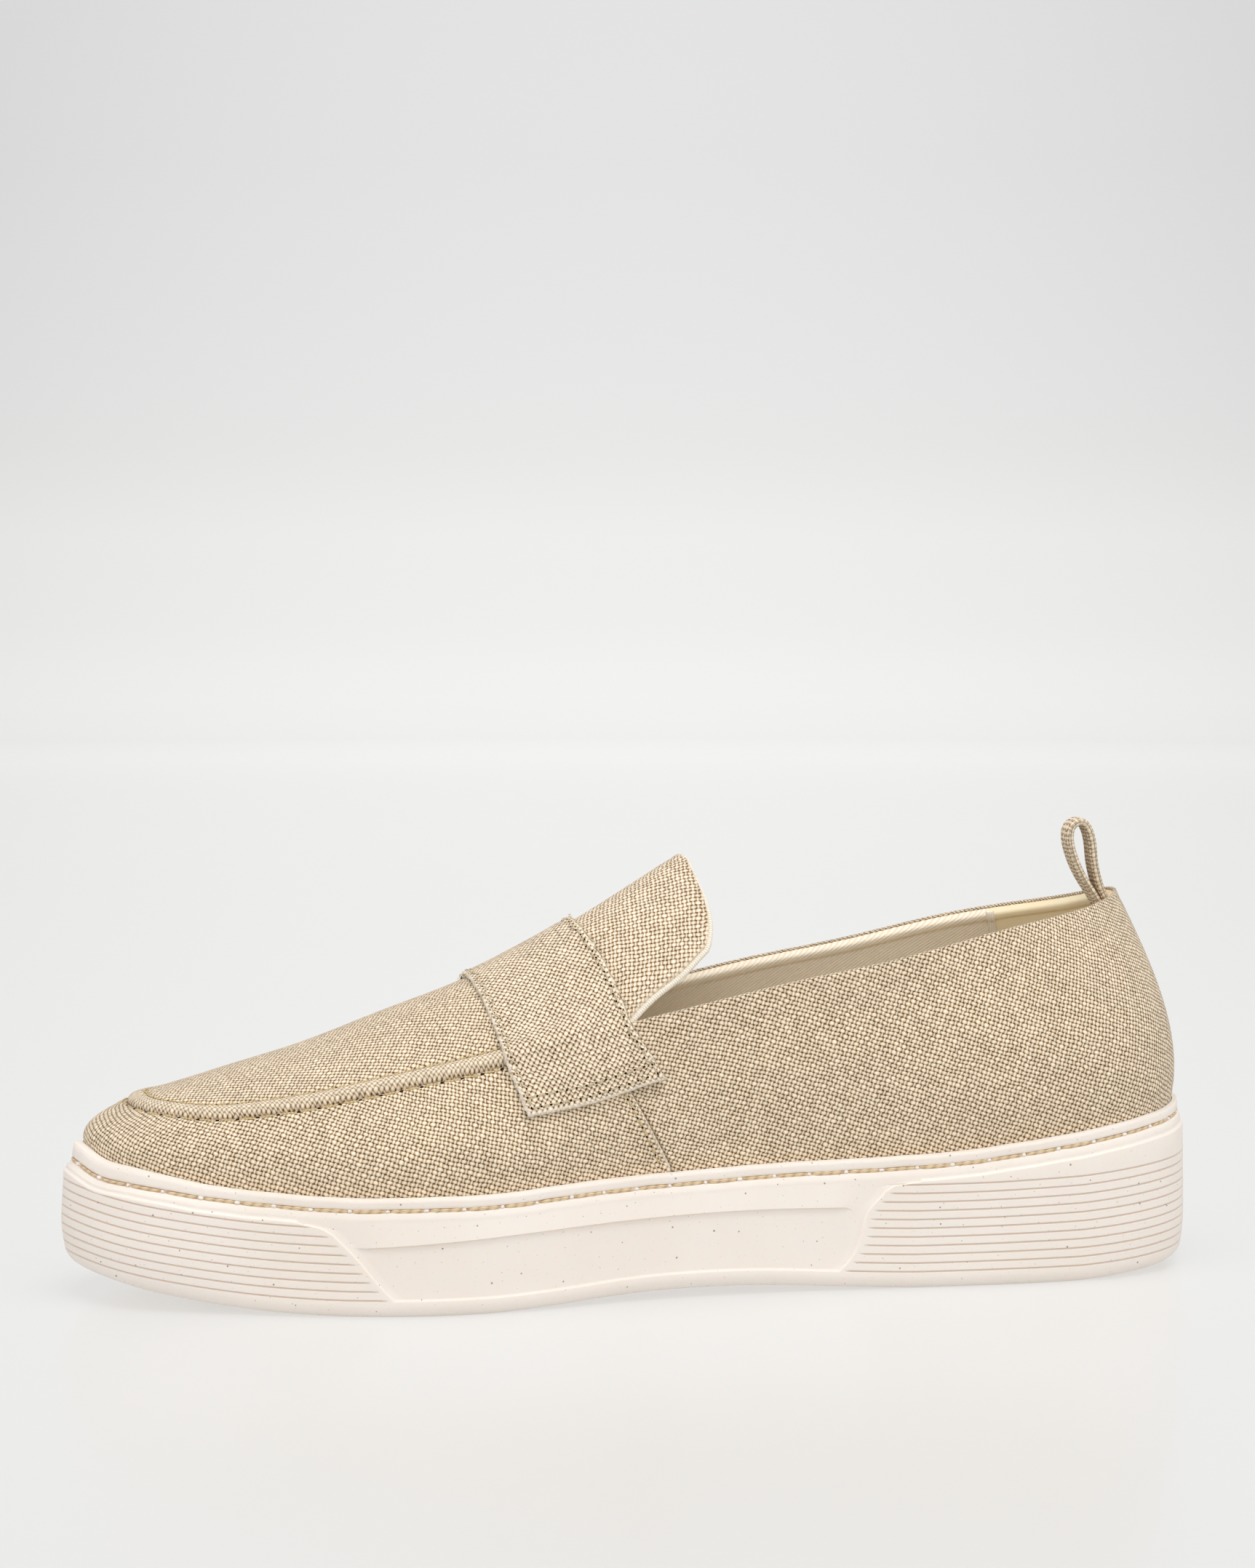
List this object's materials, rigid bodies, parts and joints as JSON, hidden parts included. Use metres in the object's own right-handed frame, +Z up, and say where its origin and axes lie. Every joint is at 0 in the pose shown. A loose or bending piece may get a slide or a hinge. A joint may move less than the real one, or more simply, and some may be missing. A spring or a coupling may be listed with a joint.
{
  "type": "slip-on penny loafer",
  "caption": "Right slip-on loafer in woven linen, with a raised apron seam, a wide saddle strap, a standing tongue, a heel pull loop and a thick ribbed rubber cupsole.",
  "frame": {"origin": "middle of the footprint, on the floor that the sole stands on", "axes": "-X towards the toe, +X towards the heel, -Y the medial (inner) side, +Z up"},
  "size_m": [0.302, 0.1096, 0.1183],
  "materials": {
    "sole_rubber": "matt moulded off-white rubber with fine dark flecks",
    "footbed": "tan suede-like lining cloth",
    "upper_linen": "coarse plain-weave natural linen",
    "tongue_linen": "coarse plain-weave natural linen",
    "strap_linen": "coarse plain-weave natural linen, edge stitched",
    "loop_linen": "folded natural linen strip"
  },
  "bodies": {
    "root": {"cupsole": "sole_rubber", "insole": "footbed", "upper": "upper_linen", "tongue": "tongue_linen", "saddle_strap": "strap_linen", "heel_pull_loop": "loop_linen"}
  },
  "joints": []
}
